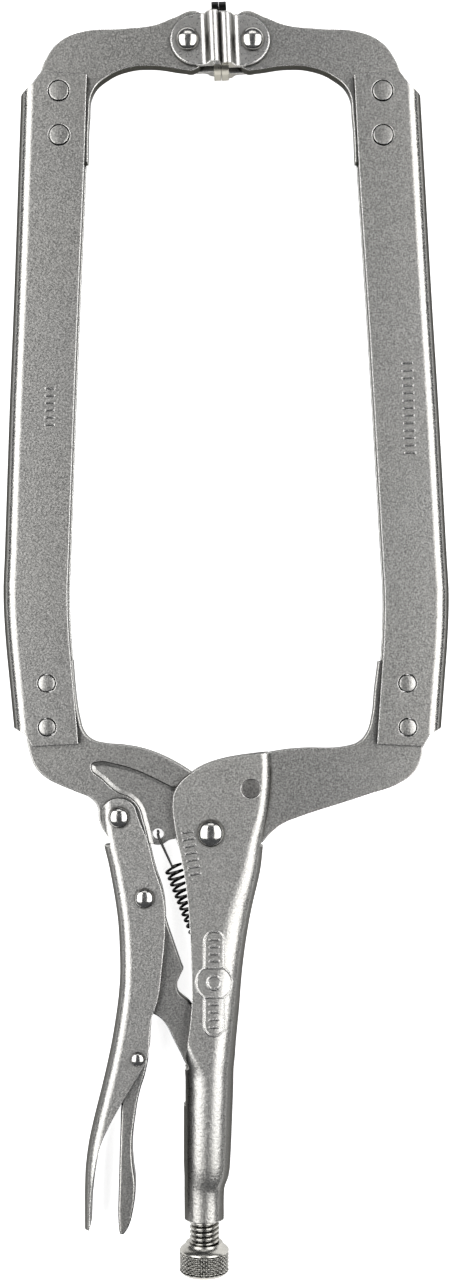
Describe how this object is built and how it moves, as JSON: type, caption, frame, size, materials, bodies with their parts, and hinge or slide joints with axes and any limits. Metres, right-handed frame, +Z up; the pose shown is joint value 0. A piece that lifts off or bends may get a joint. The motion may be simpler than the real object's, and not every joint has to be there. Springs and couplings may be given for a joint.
{
  "type": "locking c clamp",
  "caption": "Locking C clamp: two long channel arms with swivel pads, a swinging jaw, toggle lever with release lever, tension spring and knurled adjusting screw.",
  "frame": {"origin": "on the surface the clamp lies on, under the middle of its box", "axes": "+Y from the adjusting knob towards the swivel pads, +Z up out of the surface and along every rivet, +X from the movable arm towards the fixed arm"},
  "size_m": [0.1604, 0.4576, 0.0188],
  "materials": {
    "satin_steel": "satin nickel plate over blasted sheet steel",
    "bright_steel": "polished nickel plate",
    "dark_steel": "oiled dark steel"
  },
  "bodies": {
    "fixed_frame": {"fixed_handle": "satin_steel", "fixed_jaw_base": "satin_steel", "fixed_arm": "satin_steel", "fixed_jaw_tip": "satin_steel", "main_pivot_rivet": "bright_steel", "jaw_lock_rivet": "dark_steel", "fixed_tip_rivet_1": "satin_steel", "fixed_tip_rivet_2": "satin_steel", "fixed_base_rivet_1": "satin_steel", "fixed_base_rivet_2": "satin_steel", "fixed_pad_rivet": "bright_steel", "tension_spring": "dark_steel"},
    "movable_jaw": {"movable_jaw_base": "satin_steel", "movable_arm": "satin_steel", "movable_jaw_tip": "satin_steel", "movable_tip_rivet_1": "satin_steel", "movable_tip_rivet_2": "satin_steel", "movable_base_rivet_1": "satin_steel", "movable_base_rivet_2": "satin_steel", "lever_rivet": "bright_steel", "movable_pad_rivet": "bright_steel"},
    "lever": {"lever_handle": "satin_steel", "link_rivet": "bright_steel", "release_rivet": "bright_steel"},
    "toggle": {"toggle_link": "satin_steel"},
    "release": {"release_lever": "satin_steel"},
    "fixed_swivel_pad": {"fixed_pad": "bright_steel"},
    "movable_swivel_pad": {"movable_pad": "bright_steel"},
    "screw_end": {"screw_tip": "dark_steel"},
    "screw": {"adjusting_screw": "dark_steel", "adjusting_knob": "dark_steel"}
  },
  "joints": [
    {"name": "jaw_swing", "type": "hinge", "parent": "fixed_frame", "child": "movable_jaw", "pos_m": [-0.00548, -0.06985, 0.00938], "axis": [0, 0, 1], "range_deg": [0, 33], "deforming": ["tension_spring"]},
    {"name": "lever_swing", "type": "hinge", "parent": "movable_jaw", "child": "lever", "pos_m": [-0.03838, -0.06415, 0.00938], "axis": [0, 0, 1], "range_deg": [-88, 0]},
    {"name": "link_swing", "type": "hinge", "parent": "lever", "child": "toggle", "pos_m": [-0.02918, -0.09305, 0.00938], "axis": [0, 0, 1], "range_deg": [0, 80.5]},
    {"name": "release_press", "type": "hinge", "parent": "lever", "child": "release", "pos_m": [-0.03158, -0.15035, 0.00938], "axis": [0, 0, 1], "range_deg": [-8, 0]},
    {"name": "fixed_pad_swivel", "type": "hinge", "parent": "fixed_frame", "child": "fixed_swivel_pad", "pos_m": [0.00945, 0.21415, 0.00938], "axis": [0, 0, 1], "range_deg": [0, 12.5]},
    {"name": "movable_pad_swivel", "type": "hinge", "parent": "movable_jaw", "child": "movable_swivel_pad", "pos_m": [-0.01375, 0.21415, 0.00938], "axis": [0, 0, 1], "range_deg": [-12.5, 0]},
    {"name": "screw_travel", "type": "slide", "parent": "fixed_frame", "child": "screw_end", "axis": [0, 1, 0], "range_m": [-0.0181, 0]},
    {"name": "knob_turn", "type": "hinge", "parent": "screw_end", "child": "screw", "pos_m": [-0.00788, -0.21785, 0.00938], "axis": [0, 1, 0], "range_deg": [-3600, 0]}
  ],
  "couplings": [
    {"joint": "lever_swing", "follows": "jaw_swing", "ratio": -2.6393},
    {"joint": "link_swing", "follows": "jaw_swing", "ratio": 2.4138},
    {"joint": "fixed_pad_swivel", "follows": "jaw_swing", "ratio": 0.36},
    {"joint": "movable_pad_swivel", "follows": "jaw_swing", "ratio": -0.36},
    {"joint": "knob_turn", "follows": "screw_travel", "rad_per_m": 3463.2}
  ]
}
